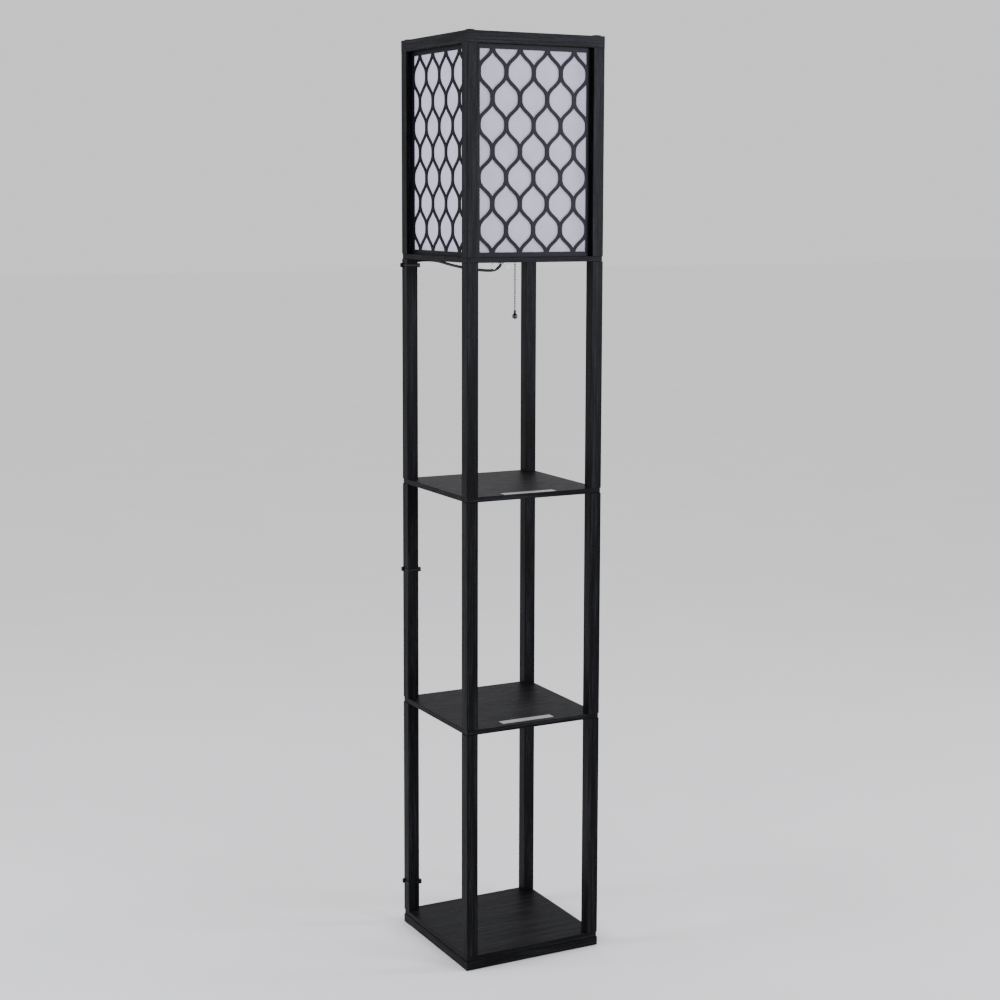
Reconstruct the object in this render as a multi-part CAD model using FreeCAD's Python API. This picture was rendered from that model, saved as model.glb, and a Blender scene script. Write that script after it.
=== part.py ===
import FreeCAD
import Part

import math
import os

# Shelf floor lamp: four columns of square posts screwed together through four boards, a lattice shade
# at the top, a pull-chain lampholder inside it and a mains lead tied down the rear left column.
# Millimetres, +Z up. The origin is on the floor, below the middle of the footprint. -Y is the front.

os.makedirs("parts", exist_ok=True)

Vector = FreeCAD.Vector
X_AXIS = Vector(1, 0, 0)
Y_AXIS = Vector(0, 1, 0)
Z_AXIS = Vector(0, 0, 1)

# ---- driving dimensions -------------------------------------------------------------------------

footprint = 260.0
total_height = 1600.0
post_size = 21.0
shelf_post_length = 392.5
board_thickness = 9.0
board_inset = 1.0
base_rail_height = 15.0
top_rail_height = 20.0
pad_thickness = 1.0
edge_round = 0.7
board_edge_round = 0.8

running_gap = 0.3
slip_gap = 0.05
nearly_parallel = 0.9

# ---- derived levels and places ------------------------------------------------------------------

half = footprint / 2
post_inner = half - post_size
column_axis = half - post_size / 2
base_board_z = pad_thickness + base_rail_height
shelf_pitch = shelf_post_length + board_thickness
lower_post_z = base_board_z + board_thickness
lower_shelf_z = lower_post_z + shelf_post_length
upper_shelf_z = lower_shelf_z + shelf_pitch
shade_board_z = upper_shelf_z + shelf_pitch
shade_floor = shade_board_z + board_thickness
top_rail_z = total_height - top_rail_height
shade_post_length = top_rail_z - shade_floor
corners = [(-column_axis, -column_axis), (column_axis, -column_axis),
           (-column_axis, column_axis), (column_axis, column_axis)]


def save(name, shape):
    shape.exportStep("parts/" + name + ".step")


def box(x0, x1, y0, y1, z0, z1):
    return Part.makeBox(x1 - x0, y1 - y0, z1 - z0, Vector(x0, y0, z0))


def disc(radius, z0, z1, x=0.0, y=0.0):
    return Part.makeCylinder(radius, z1 - z0, Vector(x, y, z0), Z_AXIS)


def rounded_upright(x0, x1, y0, y1, z0, z1, radius):
    """Square bar standing on end, with its four long edges rounded."""
    bar = box(x0, x1, y0, y1, z0, z1)
    uprights = [e for e in bar.Edges if abs(e.tangentAt(e.FirstParameter).z) > nearly_parallel]
    return bar.makeFillet(radius, uprights)


def revolved(profile):
    """Solid of revolution about Z, from a closed list of (radius, z) corners."""
    points = [Vector(r, 0, z) for r, z in profile]
    face = Part.Face(Part.makePolygon(points + points[:1]))
    return face.revolve(Vector(0, 0, 0), Z_AXIS, 360)


# ---- threaded joints of the columns -------------------------------------------------------------
# M6 studs join the posts end to end through the boards. Each post end holds a press-in sleeve.

stud_radius = 3.0
stud_reach = 20.0
stud_board_gap = 0.25
stud_tip_gap = 1.0
insert_radius = 4.5
insert_length = 13.0
screw_head_radius = 6.0
screw_head_height = 3.0
head_recess = 3.5
head_gap = 0.25
cap_radius = 7.5
cap_height = 1.8
cap_dome = 0.8

board_hole = stud_radius + stud_board_gap
stud_bore = stud_radius + slip_gap


def cut_post_ends(post, x, y, z0, z1):
    """Bores for the sleeve and the stud's tip in both ends of a post."""
    tip = stud_reach + stud_tip_gap
    for low, high, sleeve_low, sleeve_high in (
            (z0, z0 + tip, z0, z0 + insert_length),
            (z1 - tip, z1, z1 - insert_length, z1)):
        post = post.cut(disc(stud_bore, low, high, x, y))
        post = post.cut(disc(insert_radius, sleeve_low, sleeve_high, x, y))
    return post


def post_ends():
    """(x, y, z, direction into the post) of every post end."""
    ends = []
    levels = [(lower_post_z, shelf_post_length), (lower_shelf_z + board_thickness, shelf_post_length),
              (upper_shelf_z + board_thickness, shelf_post_length), (shade_floor, shade_post_length)]
    for z, length in levels:
        for x, y in corners:
            ends.append((x, y, z, 1))
            ends.append((x, y, z + length, -1))
    return ends


def column_studs():
    studs = []
    for z in (lower_shelf_z, upper_shelf_z, shade_board_z):
        for x, y in corners:
            studs.append(disc(stud_radius, z - stud_reach, z + board_thickness + stud_reach, x, y))
    return studs


def post_inserts():
    sleeves = []
    for x, y, z, way in post_ends():
        low = min(z, z + way * insert_length)
        sleeve = disc(insert_radius, low, low + insert_length, x, y)
        sleeves.append(sleeve.cut(disc(stud_bore, low, low + insert_length, x, y)))
    return sleeves


def frame_screws():
    """Screws up through the base frame and down through the top frame, heads sunk in the rails."""
    screws = []
    base_head = pad_thickness + head_recess - screw_head_height
    top_head = total_height - head_recess
    for x, y in corners:
        head = disc(screw_head_radius, base_head, base_head + screw_head_height, x, y)
        screws.append(head.fuse(disc(stud_radius, base_head, lower_post_z + insert_length, x, y)))
        head = disc(screw_head_radius, top_head, top_head + screw_head_height, x, y)
        shank = disc(stud_radius, top_rail_z - insert_length, top_head + screw_head_height, x, y)
        screws.append(head.fuse(shank))
    return screws


def screw_caps():
    """Shallow domed covers that hide the screw heads in the top frame."""
    caps = []
    for x, y in corners:
        cap = disc(cap_radius, total_height, total_height + cap_height, x, y)
        rim = [e for e in cap.Edges if e.BoundBox.ZMin > total_height + cap_height - slip_gap]
        caps.append(cap.makeFillet(cap_dome, rim[:1]))
    return caps


# ---- base frame, top frame, boards and posts ----------------------------------------------------

dowel_radius = 3.0
dowel_in_long_rail = 6.0
dowel_in_side_rail = 12.0
pad_radius = 8.0
pad_from_corner = 32.0

head_bore = screw_head_radius + head_gap


def round_long_edges(rail, along, radius):
    edges = [e for e in rail.Edges if abs(e.tangentAt(e.FirstParameter).dot(along)) > nearly_parallel]
    return rail.makeFillet(radius, edges)


def rail_pair(z0, height, head_low, head_high):
    """Front, rear, left and right rail of a square frame, the long ones running through."""
    rails = {}
    for name, way in (("front", -1), ("rear", 1)):
        y0 = min(way * half, way * post_inner)
        rail = box(-half, half, y0, y0 + post_size, z0, z0 + height)
        rail = round_long_edges(rail, X_AXIS, board_edge_round)
        for x in (-column_axis, column_axis):
            y = way * column_axis
            rail = rail.cut(disc(board_hole, z0, z0 + height, x, y))
            rail = rail.cut(disc(head_bore, head_low, head_high, x, y))
        rails[name] = rail
    for name, way in (("left", -1), ("right", 1)):
        x0 = min(way * half, way * post_inner)
        rail = box(x0, x0 + post_size, -post_inner, post_inner, z0, z0 + height)
        rails[name] = round_long_edges(rail, Y_AXIS, board_edge_round)
    for dowel in frame_dowels(z0, height):
        for name in rails:
            rails[name] = rails[name].cut(dowel)
    return rails


def frame_dowels(z0, height):
    pegs = []
    length = dowel_in_long_rail + dowel_in_side_rail
    for x, y in corners:
        way = math.copysign(1, y)
        start = Vector(x, way * (post_inner + dowel_in_long_rail), z0 + height / 2)
        pegs.append(Part.makeCylinder(dowel_radius, length, start, Y_AXIS * -way))
    return pegs


def board(z0):
    """Full-size shelf board, its rim softened, drilled at the four column axes."""
    reach = half - board_inset
    plate = box(-reach, reach, -reach, reach, z0, z0 + board_thickness)
    plate = plate.makeFillet(board_edge_round, plate.Edges)
    for x, y in corners:
        plate = plate.cut(disc(board_hole, z0, z0 + board_thickness, x, y))
    return plate


def post_set(z0, length):
    posts = []
    r = post_size / 2
    for x, y in corners:
        post = rounded_upright(x - r, x + r, y - r, y + r, z0, z0 + length, edge_round)
        posts.append(cut_post_ends(post, x, y, z0, z0 + length))
    return posts


def foot_pads():
    pads = []
    reach = half - pad_from_corner
    for x in (-reach, reach):
        for y in (-column_axis, column_axis):
            pads.append(disc(pad_radius, 0, pad_thickness, x, y))
    return pads


# ---- lattice shade ------------------------------------------------------------------------------
# Four cut-out panels stand in grooves of the shade posts, each backed by a translucent sheet.
# A strand of the lattice swings between two stems: upright at the stem, a cosine wave between them.

panel_thickness = 2.0
groove_depth = 5.0
groove_gap = 0.15
opening_side_margin = 7.5
opening_end_margin = 8.0
strand_width = 5.7
stems_across = 3.934
waves_up = 7.72
wave_fullness = 0.14
stem_straight = 3.0
side_stem_overlap = 0.9
mid_stem_overlap = 1.05
sheet_thickness = 0.6
sheet_side_gap = 0.5
lattice_rows = 4
tip_halvings = 40
curve_points = 10

panel_face = column_axis
panel_back = panel_face - panel_thickness
panel_half_width = post_inner + groove_depth - groove_gap
pattern_centre_z = (shade_floor + top_rail_z) / 2
opening_half_width = post_inner - opening_side_margin
opening_height = shade_post_length - 2 * opening_end_margin
stem_pitch = 2 * opening_half_width / stems_across
wave_half_period = opening_height / waves_up
half_pitch = stem_pitch / 2
wave_swing = (half_pitch - side_stem_overlap - mid_stem_overlap) / 2
wave_run = wave_half_period - 2 * stem_straight


def cell_half_width(u, mid):
    """Half the width of a cell, at height u from its middle: strand centre less half a strand. The
    strand's cosine wave is made fuller at its shoulders by a share of its sine squared."""
    along = min(max(abs(u), stem_straight), wave_half_period - stem_straight) - stem_straight
    w = math.pi * along / wave_run
    fill = 1 + wave_fullness * math.sin(w) ** 2
    fall = math.sin(w) * fill - wave_fullness * math.sin(2 * w) * math.cos(w)
    slope = wave_swing * math.pi / wave_run * fall
    return mid + wave_swing * math.cos(w) * fill - strand_width / 2 * math.sqrt(1 + slope * slope)


def cell_tip(mid):
    """Height above the cell's middle where its two sides meet, by halving."""
    low = stem_straight
    high = wave_half_period
    for halving in range(tip_halvings):
        middle = (low + high) / 2
        if cell_half_width(middle, mid) > 0:
            low = middle
        else:
            high = middle
    return low


def cell_face(cx, cz, mid):
    """Onion-shaped hole of the lattice, in the XZ plane."""
    tip = cell_tip(mid)
    heights = [stem_straight + (tip - stem_straight) * i / curve_points for i in range(curve_points + 1)]
    widths = [cell_half_width(u, mid) for u in heights[:-1]] + [0.0]
    edges = []
    for sx, sz in ((1, 1), (-1, 1), (-1, -1), (1, -1)):
        points = [Vector(cx + sx * w, 0, cz + sz * u) for u, w in zip(heights, widths)]
        curve = Part.BSplineCurve()
        curve.interpolate(points)
        edges.append(curve.toShape())
    wide = widths[0]
    for sx in (1, -1):
        low = Vector(cx + sx * wide, 0, cz - stem_straight)
        edges.append(Part.LineSegment(low, low + Z_AXIS * 2 * stem_straight).toShape())
    return Part.Face(Part.Wire(Part.__sortEdges__(edges)))


def lattice_holes():
    """Every hole of one panel, cut off at the panel's inner edge."""
    opening = Part.Face(Part.makePolygon([
        Vector(-opening_half_width, 0, pattern_centre_z - opening_height / 2),
        Vector(opening_half_width, 0, pattern_centre_z - opening_height / 2),
        Vector(opening_half_width, 0, pattern_centre_z + opening_height / 2),
        Vector(-opening_half_width, 0, pattern_centre_z + opening_height / 2),
        Vector(-opening_half_width, 0, pattern_centre_z - opening_height / 2)]))
    side_mid = half_pitch - side_stem_overlap - wave_swing
    mid_mid = half_pitch - mid_stem_overlap - wave_swing
    rows = 2 * lattice_rows + 1
    holes = []
    for row in range(rows):
        cz = pattern_centre_z + (row - lattice_rows) * wave_half_period
        centred = row % 2 == 0
        columns = range(-2, 3) if centred else (-1.5, -0.5, 0.5, 1.5)
        for column in columns:
            cell = cell_face(column * stem_pitch, cz, mid_mid if centred else side_mid)
            inside = cell.common(opening)
            holes.extend(inside.Faces)
    return holes


def lattice_panel():
    """The front panel, its face towards -Y."""
    low = Vector(-panel_half_width, 0, shade_floor)
    width = 2 * panel_half_width
    sheet = Part.makePlane(width, shade_post_length, low, Y_AXIS * -1, X_AXIS)
    holes = lattice_holes()
    plate = Part.Face([sheet.OuterWire] + [hole.OuterWire for hole in holes])
    plate.validate()
    plate.translate(Vector(0, -panel_face, 0))
    return plate.extrude(Vector(0, panel_thickness, 0))


def diffuser():
    """The front sheet, glued flat to the back of its panel."""
    reach = post_inner - sheet_side_gap
    return box(-reach, reach, -panel_back, -panel_back + sheet_thickness,
               shade_floor + sheet_side_gap, top_rail_z - sheet_side_gap)


def turned(shape, degrees):
    copy = shape.copy()
    copy.rotate(Vector(0, 0, 0), Z_AXIS, degrees)
    return copy


def groove():
    """Room in the posts for the front panel's side edges."""
    reach = post_inner + groove_depth
    return box(-reach, reach, -panel_face - groove_gap, -panel_back + groove_gap, shade_floor, top_rail_z)


# ---- label strips -------------------------------------------------------------------------------

label_length = 100.0
label_width = 16.5
label_thickness = 0.2
# where the strip lies on the lower and on the upper shelf: its middle along X, and how far from the front
label_places = [(-3.5, 13.5), (-6.5, 4.2)]


def label_strips():
    strips = []
    shelves = (lower_shelf_z, upper_shelf_z)
    for z, (middle_x, from_front) in zip(shelves, label_places):
        x0 = middle_x - label_length / 2
        y0 = from_front - half
        top = z + board_thickness
        strips.append(box(x0, x0 + label_length, y0, y0 + label_width, top, top + label_thickness))
    return strips


cord_radius = 2.5


# ---- lampholder ---------------------------------------------------------------------------------
# A screw-fit holder stands on the shade board on an M10 nipple. The pull switch is in its lower half.

nipple_radius = 5.0
nipple_bore = 3.4
nipple_above = 9.0
washer_radius = 9.0
washer_thickness = 0.8
nut_across_flats = 14.0
nut_thickness = 3.0
nipple_below = 0.3
sleeve_length = 20.0
sleeve_below = 2.6
sleeve_tip_radius = 2.9
holder_radius = 22.0
holder_wall = 2.0
holder_floor = 3.0
cap_top = 33.0
shell_height = 28.0
shell_radius = 20.0
insulator_height = 6.0
sleeve_bore = 13.7
sleeve_wall = 0.5
sleeve_height = 20.0
contact_radius = 4.5
contact_height = 1.4

spout_reach = 33.0
spout_half_width = 5.5
spout_wall = 1.5
spout_low = 10.5
spout_high = 30.5
chain_x = 28.0
chain_bore = 2.6
grommet_radius = 4.0
grommet_flange = 6.0
grommet_flange_height = 1.0
bell_length = 7.0
bell_flare = 4.2
bell_radius = 3.4

holder_z = shade_floor
nipple_low = shade_board_z - washer_thickness - nut_thickness - nipple_below
relief_sleeve_radius = nipple_bore - slip_gap


def nipple():
    high = holder_z + holder_floor + nipple_above
    tube = disc(nipple_radius, nipple_low, high)
    return tube.cut(disc(nipple_bore, nipple_low, high))


def cord_sleeve():
    """Tapered strain relief round the lead, held in the nipple with its tip just below it."""
    tip = nipple_low - sleeve_below
    body = revolved([(cord_radius, tip), (sleeve_tip_radius, tip), (relief_sleeve_radius, nipple_low),
                     (relief_sleeve_radius, tip + sleeve_length), (cord_radius, tip + sleeve_length)])
    return body


def nipple_nut():
    """Hexagon nut with its washer pressed on, below the shade board."""
    circle = nut_across_flats / math.sqrt(3)
    nut_high = shade_board_z - washer_thickness
    hexagon = [Vector(circle * math.cos(math.radians(60 * i)), circle * math.sin(math.radians(60 * i)),
                      nut_high - nut_thickness) for i in range(7)]
    nut = Part.Face(Part.makePolygon(hexagon)).extrude(Z_AXIS * nut_thickness)
    nut = nut.fuse(disc(washer_radius, nut_high, shade_board_z))
    return nut.cut(disc(nipple_radius, nut_high - nut_thickness, shade_board_z))


def holder_cap():
    """Lower half: a round cup with a side spout that carries the chain outlet."""
    high = holder_z + cap_top
    cup = disc(holder_radius, holder_z, high)
    rim = [e for e in cup.Edges if e.BoundBox.ZMax < holder_z + slip_gap]
    cup = cup.makeFillet(board_edge_round, rim[:1])
    spout = box(0, spout_reach, -spout_half_width, spout_half_width,
                holder_z + spout_low, holder_z + spout_high)
    uprights = [e for e in spout.Edges
                if abs(e.tangentAt(e.FirstParameter).z) > nearly_parallel and e.BoundBox.XMin > spout_wall]
    cup = cup.fuse(spout.makeFillet(spout_half_width - spout_wall, uprights))
    cup = cup.cut(disc(holder_radius - holder_wall, holder_z + holder_floor, high))
    room = spout_half_width - spout_wall
    cup = cup.cut(box(0, spout_reach - spout_wall, -room, room,
                      holder_z + spout_low + spout_wall, holder_z + spout_high - spout_wall))
    cup = cup.cut(disc(bell_radius, holder_z + spout_low, holder_z + spout_low + spout_wall, chain_x))
    return cup.cut(disc(nipple_radius, holder_z, holder_z + holder_floor))


def holder_insulator():
    """Ceramic disc between the two halves, stepped to sit on the cup's wall."""
    low = holder_z + cap_top
    plate = disc(holder_radius, low, low + spout_wall)
    plate = plate.fuse(disc(shell_radius - holder_wall, low, low + insulator_height))
    return plate.fuse(disc(holder_radius - holder_wall, low - holder_wall, low))


def holder_shell():
    """Upper half: a plain barrel with an inward rim at its mouth."""
    low = holder_z + cap_top + spout_wall
    inner = shell_radius - holder_wall
    mouth = sleeve_bore + 2 * sleeve_wall + running_gap
    return revolved([(inner, low), (shell_radius, low), (shell_radius, low + shell_height),
                     (mouth, low + shell_height), (mouth, low + shell_height - holder_wall),
                     (inner, low + shell_height - holder_wall)])


sleeve_z = holder_z + cap_top + insulator_height


def screw_sleeve():
    outer = sleeve_bore + sleeve_wall
    sleeve = disc(outer, sleeve_z, sleeve_z + sleeve_height)
    return sleeve.cut(disc(sleeve_bore, sleeve_z + sleeve_wall, sleeve_z + sleeve_height)).cut(
        disc(contact_radius + 2 * running_gap, sleeve_z, sleeve_z + sleeve_wall))


def centre_contact():
    tongue = disc(contact_radius, sleeve_z, sleeve_z + contact_height)
    crown = [e for e in tongue.Edges if e.BoundBox.ZMin > sleeve_z + contact_height - slip_gap]
    return tongue.makeFillet(contact_height / 2, crown[:1])


def bell_mouth():
    """Flared metal guide in the spout's floor, where the chain comes out."""
    high = holder_z + spout_low + spout_wall
    low = high - bell_length
    root = low + bell_flare / 2
    body = revolved([(chain_bore, high), (bell_radius, high), (bell_radius, root), (bell_flare, low),
                     (bell_flare - spout_wall / 2, low), (chain_bore, root)])
    body.translate(Vector(chain_x, 0, 0))
    return body


def chain_grommet():
    """Flanged bush that lines the chain's hole through the shade board."""
    low = shade_board_z - grommet_flange_height
    high = shade_floor + grommet_flange_height
    bush = disc(grommet_radius, shade_board_z, shade_floor, chain_x)
    bush = bush.fuse(disc(grommet_flange, low, shade_board_z, chain_x))
    bush = bush.fuse(disc(grommet_flange, shade_floor, high, chain_x))
    return bush.cut(disc(chain_bore, low, high, chain_x))


# ---- pull switch inside the holder --------------------------------------------------------------

pivot_x = 14.0
pivot_above_floor = 22.7
pin_radius = 1.0
frame_plate = 1.0
frame_half_width = 9.0
frame_depth = 7.0
lever_half_width = 2.5
lever_thickness = 1.6
lever_hub = 3.0
lever_tip = 16.5
slot_half_width = 0.9
slot_start = 10.5
rotor_radius = 4.0
rotor_lobe_cut = 1.3
rotor_width = 3.6
spring_radius = 3.0
spring_wire = 0.4
spring_leg = 0.34
spring_lift = 0.64
spring_turns = 4
blade_thickness = 0.4
blade_gap = 0.3

pivot_z = holder_z + pivot_above_floor
pivot_bore = pin_radius + slip_gap
rotor_start = lever_half_width + running_gap


def crosswise(radius, y0, y1):
    """Cylinder along Y about the switch pin."""
    return Part.makeCylinder(radius, y1 - y0, Vector(pivot_x, y0, pivot_z), Y_AXIS)


def switch_frame():
    """Bent brass bracket on the cup's floor that carries the pin."""
    low = holder_z + holder_floor
    x0 = pivot_x - frame_depth
    x1 = pivot_x + frame_depth / 2
    plate = box(x0, x1, -frame_half_width, frame_half_width, low, low + frame_plate)
    for way in (-1, 1):
        y0 = min(way * frame_half_width, way * (frame_half_width - frame_plate))
        plate = plate.fuse(box(pivot_x - lever_hub, x1, y0, y0 + frame_plate, low, pivot_z + lever_hub))
    plate = plate.cut(crosswise(pivot_bore, -frame_half_width, frame_half_width))
    pin = crosswise(pin_radius, -frame_half_width, frame_half_width)
    head = crosswise(pivot_bore, frame_half_width - frame_plate, frame_half_width)
    tail = crosswise(pivot_bore, -frame_half_width, frame_plate - frame_half_width)
    return plate.fuse([pin, head, tail]).removeSplitter()


def switch_lever():
    """Slotted arm that the chain's top bead rests on."""
    arm = box(pivot_x, pivot_x + lever_tip, -lever_half_width, lever_half_width,
              pivot_z - lever_thickness / 2, pivot_z + lever_thickness / 2)
    arm = arm.fuse(crosswise(lever_hub, -lever_half_width, lever_half_width))
    arm = arm.cut(box(pivot_x + slot_start, pivot_x + lever_tip, -slot_half_width, slot_half_width,
                      pivot_z - lever_thickness, pivot_z + lever_thickness))
    return arm.cut(crosswise(pivot_bore, -lever_half_width, lever_half_width))


def switch_rotor():
    """Four-lobed contact drum beside the lever."""
    end = rotor_start + rotor_width
    drum = crosswise(rotor_radius, rotor_start, end)
    for i in range(4):
        angle = math.radians(45 + 90 * i)
        place = Vector(pivot_x + rotor_radius * math.cos(angle), rotor_start,
                       pivot_z + rotor_radius * math.sin(angle))
        drum = drum.cut(Part.makeCylinder(rotor_lobe_cut, rotor_width, place, Y_AXIS))
    return drum.cut(crosswise(pivot_bore, rotor_start, end))


def switch_contacts():
    """Two brass blades that hang from the insulator, one each side of the drum."""
    blades = []
    reach = rotor_radius + blade_gap
    high = holder_z + cap_top - holder_wall
    for x0 in (pivot_x - reach - blade_thickness, pivot_x + reach):
        blades.append(box(x0, x0 + blade_thickness, rotor_start, rotor_start + rotor_width,
                          pivot_z - lever_hub, high))
    return blades


def return_spring():
    """Close-wound torsion spring on the pin, opposite the drum, with one leg on the bracket."""
    first = -frame_half_width + frame_plate + spring_wire
    coil = None
    for i in range(spring_turns):
        centre = Vector(pivot_x, first + i * spring_lift, pivot_z)
        ring = Part.makeTorus(spring_radius, spring_wire, centre, Y_AXIS)
        coil = ring if coil is None else coil.fuse(ring)
    low = holder_z + holder_floor + frame_plate
    leg = Part.makeCylinder(spring_leg, pivot_z - low, Vector(pivot_x - spring_radius, first, low), Z_AXIS)
    return coil.fuse(leg)


# ---- pull chain ---------------------------------------------------------------------------------
# Ball chain: beads on a core wire. It hangs from one bead below the board, which lets it swing.

bead_radius = 1.6
bead_pitch = 4.3
core_radius = 0.5
swivel_drop = 4.0
hanging_beads = 20
guided_beads = 7
top_bead_step = 9
ball_radius = 5.0
neck_radius = 2.2
neck_length = 4.0

swivel_z = shade_board_z - swivel_drop


def bead(step):
    return Part.makeSphere(bead_radius, Vector(chain_x, 0, swivel_z + step * bead_pitch))


def chain_upper():
    """Guided part: from the bead on the lever down through the board."""
    low = swivel_z + bead_radius + running_gap
    core = disc(core_radius, low, swivel_z + top_bead_step * bead_pitch, chain_x)
    steps = list(range(1, guided_beads + 1)) + [top_bead_step]
    return core.fuse([bead(step) for step in steps])


def chain_swivel():
    return bead(0)


def chain_lower():
    high = swivel_z - bead_radius - running_gap
    core = disc(core_radius, swivel_z - hanging_beads * bead_pitch, high, chain_x)
    return core.fuse([bead(-step) for step in range(1, hanging_beads + 1)])


last_bead_z = swivel_z - hanging_beads * bead_pitch
ball_z = last_bead_z - 2 * bead_pitch


def pull_ball():
    """Polished ball with a short neck that closes over the last bead."""
    neck_high = last_bead_z + neck_length / 2
    ball = Part.makeSphere(ball_radius, Vector(chain_x, 0, ball_z))
    ball = ball.fuse(disc(neck_radius, ball_z, neck_high, chain_x))
    hollow = Part.makeSphere(bead_radius, Vector(chain_x, 0, last_bead_z))
    return ball.cut(hollow.fuse(disc(core_radius, last_bead_z, neck_high, chain_x)))


# ---- bulb ---------------------------------------------------------------------------------------

bulb_radius = 30.0
bulb_neck = 12.5
bulb_flare = 40.0
bulb_glass_wall = 1.0
thread_crest = 13.1
thread_depth = 0.6
thread_pitch = 3.6
thread_turns = 5
points_per_turn = 6
bulb_foot_height = 6.0
bulb_foot_radius = 10.5
tip_radius = 4.4
tip_height = 1.2
bulb_seat_gap = 0.3

bulb_tip_z = sleeve_z + contact_height + bulb_seat_gap
thread_z = bulb_tip_z + bulb_foot_height
neck_z = thread_z + thread_turns * thread_pitch


def bulb_cap():
    """Screw cap: contact tip, insulating cone and a rolled thread of round waves."""
    profile = [(0, bulb_tip_z), (tip_radius, bulb_tip_z), (tip_radius, bulb_tip_z + tip_height),
               (bulb_foot_radius, thread_z - tip_height), (thread_crest - thread_depth, thread_z)]
    for i in range(1, thread_turns * points_per_turn + 1):
        turn = i / points_per_turn
        wave = math.sin(math.pi * turn) ** 2
        profile.append((thread_crest - thread_depth * (1 - wave), thread_z + thread_pitch * turn))
    profile.append((0, neck_z))
    return revolved(profile)


def bulb_outline(inset):
    """Half outline of the glass: neck, hollow flare, ball. inset moves it inwards."""
    ball = bulb_radius - inset
    flare = bulb_flare + inset
    rise = math.sqrt((bulb_radius + bulb_flare) ** 2 - (bulb_neck + bulb_flare) ** 2)
    ball_centre = Vector(0, 0, neck_z + rise)
    flare_centre = Vector(bulb_neck + bulb_flare, 0, neck_z)
    toward = (flare_centre - ball_centre).normalize()
    meet = ball_centre + toward * ball
    start = Vector(bulb_neck - inset, 0, neck_z)
    between = (meet - flare_centre).normalize() + Vector(-1, 0, 0)
    flare_mid = flare_centre + between.normalize() * flare
    top = ball_centre + Z_AXIS * ball
    ball_way = (toward + Z_AXIS).normalize()
    flare_arc = Part.Arc(start, flare_mid, meet).toShape()
    ball_arc = Part.Arc(meet, ball_centre + ball_way * ball, top).toShape()
    return start, flare_arc, ball_arc, top


def bulb_glass():
    start, flare_out, ball_out, top = bulb_outline(0)
    inner_start, flare_in, ball_in, inner_top = bulb_outline(bulb_glass_wall)
    edges = [flare_out, ball_out, Part.LineSegment(top, inner_top).toShape(), ball_in, flare_in,
             Part.LineSegment(inner_start, start).toShape()]
    face = Part.Face(Part.Wire(Part.__sortEdges__(edges)))
    return face.revolve(Vector(0, 0, 0), Z_AXIS, 360)


# ---- mains lead ---------------------------------------------------------------------------------
# It leaves the nipple, sags across below the shade board, turns down behind the rear left column and
# ends in a short tied hank on the floor behind the base.

hank_run = 85.0
hank_loop = 15.0
hank_start_x = -70.0
hank_rear_gap = 0.5
hank_waist = 5.0
hank_turns = 2
hank_lift = 0.1
hank_tie_wall = 0.6
hank_tie_width = 5.0

hank_reach = hank_run / 2 - hank_loop - cord_radius
hank_middle = Vector(hank_start_x + hank_run / 2, half + hank_rear_gap + cord_radius + hank_loop, 0)
hank_low_y = hank_middle.y - hank_loop
hank_top_z = hank_lift + 2 * cord_radius * hank_turns

# The route is drawn on the frame as built, and is stretched with the frame where that changes.
drawn_half = 130.0
drawn_board_z = 1220.5


def laid(x, y, z):
    """A point of the drawn route, moved with the frame."""
    side = half / drawn_half
    return (x * side, y * side, z * shade_board_z / drawn_board_z)


drawn_route = [
    (0.0, 0.0, 1212.2), (-1.6, 1.9, 1208.9), (-5.0, 6.0, 1204.4),
    (-10.4, 12.5, 1201.9), (-18.5, 22.4, 1201.6), (-31.0, 38.5, 1203.0), (-46.0, 59.5, 1206.2),
    (-60.0, 81.0, 1210.8), (-71.0, 99.8, 1216.2), (-79.8, 114.0, 1217.7), (-90.2, 126.6, 1217.6),
    (-103.2, 135.8, 1215.5), (-115.2, 140.4, 1206.2), (-122.2, 140.2, 1192.6), (-122.6, 137.6, 1175.6),
    (-121.4, 135.0, 1146.0), (-118.6, 133.7, 1092.0), (-115.2, 133.5, 1020.0), (-115.4, 133.6, 948.0),
    (-117.6, 134.0, 876.0), (-118.2, 134.6, 806.0), (-117.0, 133.6, 735.0), (-115.8, 133.4, 663.0),
    (-116.6, 133.7, 592.0), (-118.4, 134.4, 523.0), (-119.0, 133.8, 455.0), (-117.2, 134.5, 386.0),
    (-115.2, 134.2, 316.0), (-114.8, 133.6, 247.0), (-116.4, 133.4, 180.0), (-118.8, 133.5, 118.0),
    (-120.4, 133.4, 72.0), (-120.0, 133.6, 42.5), (-115.5, 133.6, 20.0), (-102.5, 133.5, 6.5),
    (-86.3, 133.2, 2.7)]
cord_route = ([(0.0, 0.0, nipple_low)] + [laid(*point) for point in drawn_route]
              + [(hank_start_x, hank_low_y, cord_radius + hank_lift)])

plug_half_width = 17.6
plug_half_height = 6.85
plug_length = 36.0
relief_length = 20.0
relief_end_radius = 3.3
relief_root_radius = 5.4
plug_start_x = 50.5
plug_rear_gap = 0.6
# cross-sections of the plug's body: how far along it, and their width and height as shares of the full size
plug_sections = [(0.35, 0.68, 0.94), (0.7, 0.94, 1.0), (1.0, 1.0, 1.0)]
pin_diameter = 4.0
pin_length = 19.0
pin_spacing = 19.0

plug_y = half + plug_rear_gap + plug_half_width
plug_z = plug_half_height + slip_gap

drawn_tail = [(9.5, 133.1, 12.8), (20.8, 136.6, 11.0), (31.0, 143.4, 8.2), (41.2, 147.6, 7.0)]
tail_route = ([(hank_middle.x + hank_reach, hank_low_y, hank_top_z + cord_radius)]
              + [laid(*point) for point in drawn_tail] + [(plug_start_x, plug_y, plug_z)])


bend_share = 0.45


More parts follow.
